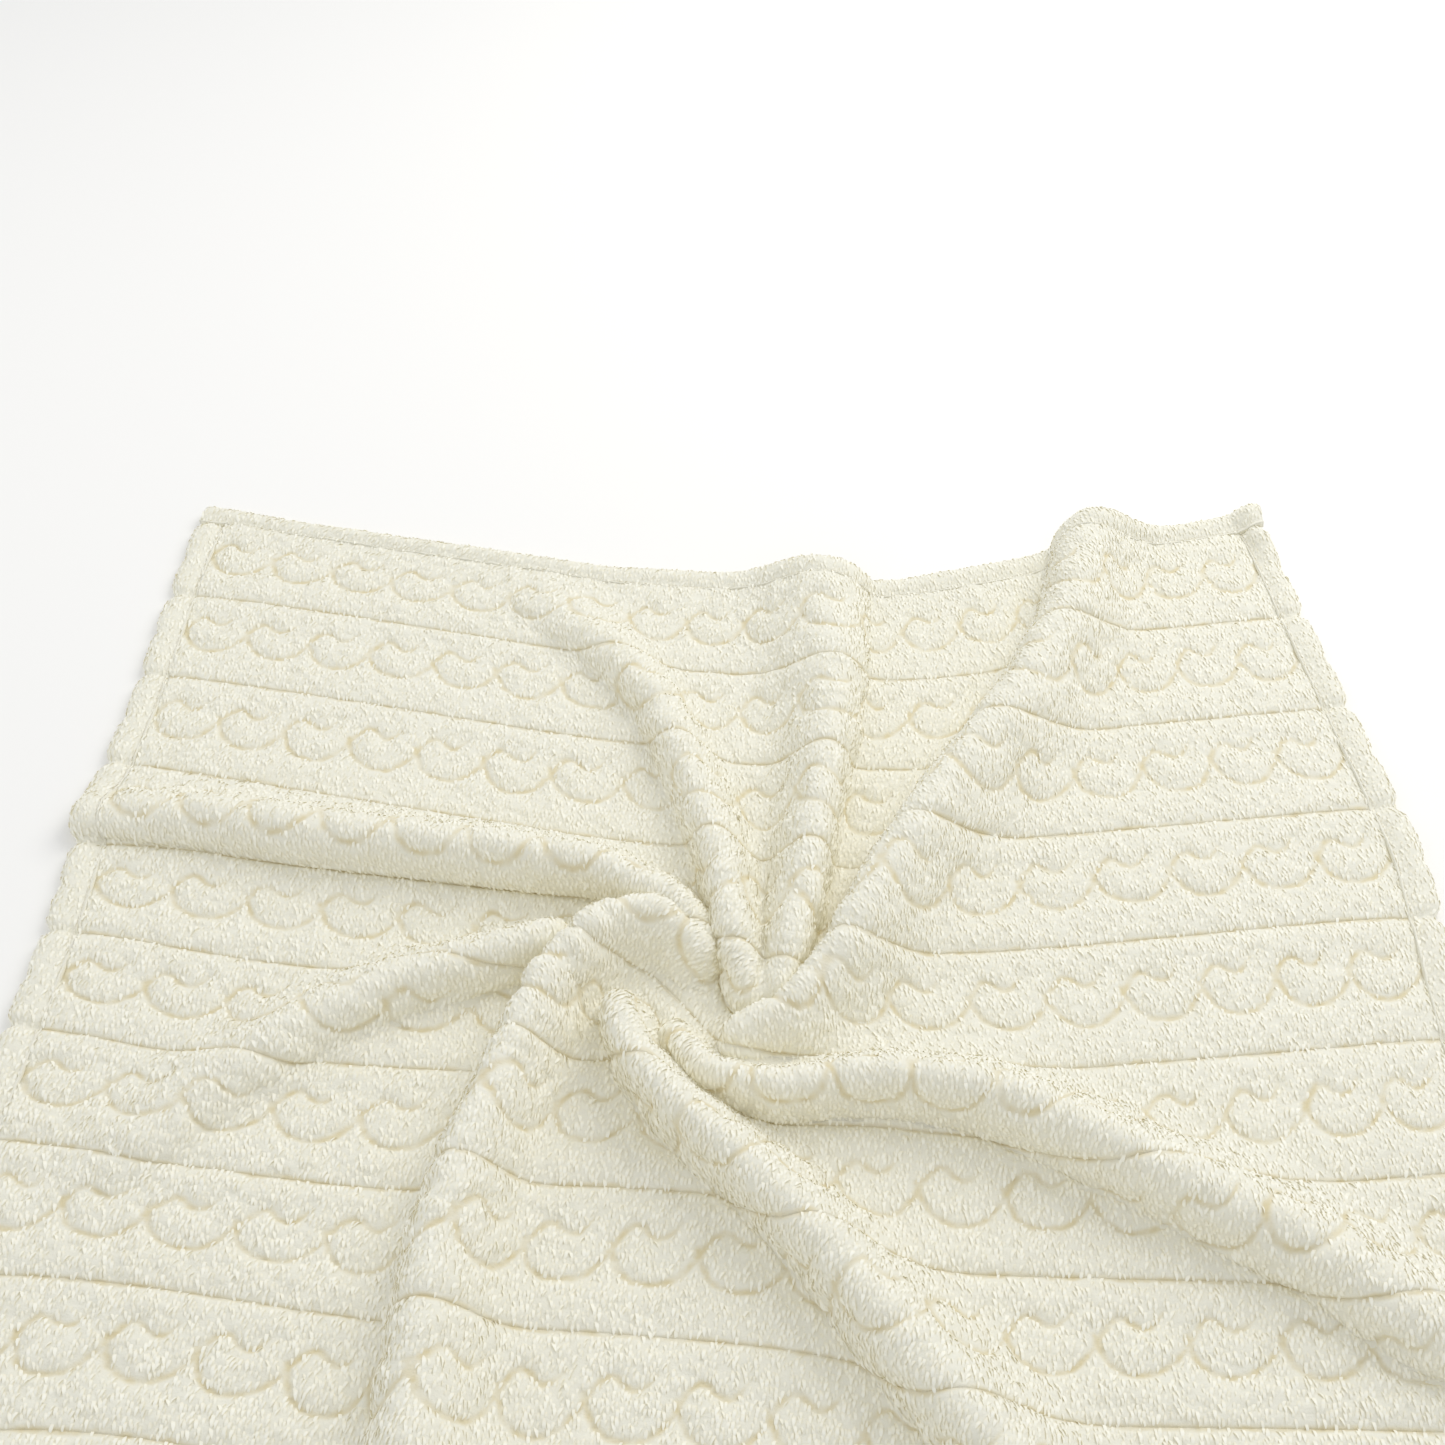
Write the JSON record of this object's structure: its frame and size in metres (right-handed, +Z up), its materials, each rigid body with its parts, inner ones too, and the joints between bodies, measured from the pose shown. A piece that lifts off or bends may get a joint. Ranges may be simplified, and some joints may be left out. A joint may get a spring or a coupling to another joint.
{
  "type": "throw blanket",
  "caption": "Cable-carved pile fleece throw with turned hems, spread out with its middle pinched into a swirl of folds.",
  "frame": {"origin": "on the floor, on the flat underside in the middle of the spread throw", "axes": "+Z up from the floor, +Y towards the far end hem, +X towards the right side hem"},
  "size_m": [1.25, 1.46, 0.0714],
  "materials": {
    "face_fleece": "soft carved microfibre pile",
    "back_fleece": "short sheared microfibre pile",
    "ground_knit": "fine warp knit",
    "hem_fleece": "soft pile, turned and stitched",
    "thread": "spun polyester sewing thread",
    "label_tape": "blank woven satin tape"
  },
  "bodies": {
    "throw": {"back_pile": "back_fleece", "knit_ground": "ground_knit", "face_pile": "face_fleece", "far_hem": "hem_fleece", "near_hem": "hem_fleece", "left_hem": "hem_fleece", "right_hem": "hem_fleece", "far_needle_thread": "thread", "near_needle_thread": "thread", "left_needle_thread": "thread", "right_needle_thread": "thread", "far_bobbin_thread": "thread", "near_bobbin_thread": "thread", "left_bobbin_thread": "thread", "right_bobbin_thread": "thread"},
    "label": {"care_label": "label_tape"}
  },
  "joints": [
    {"name": "label_flap", "type": "hinge", "parent": "throw", "child": "label", "pos_m": [0, -0.6908, 0.0014], "axis": [-1, 0, 0], "range_deg": [0, 88]}
  ]
}
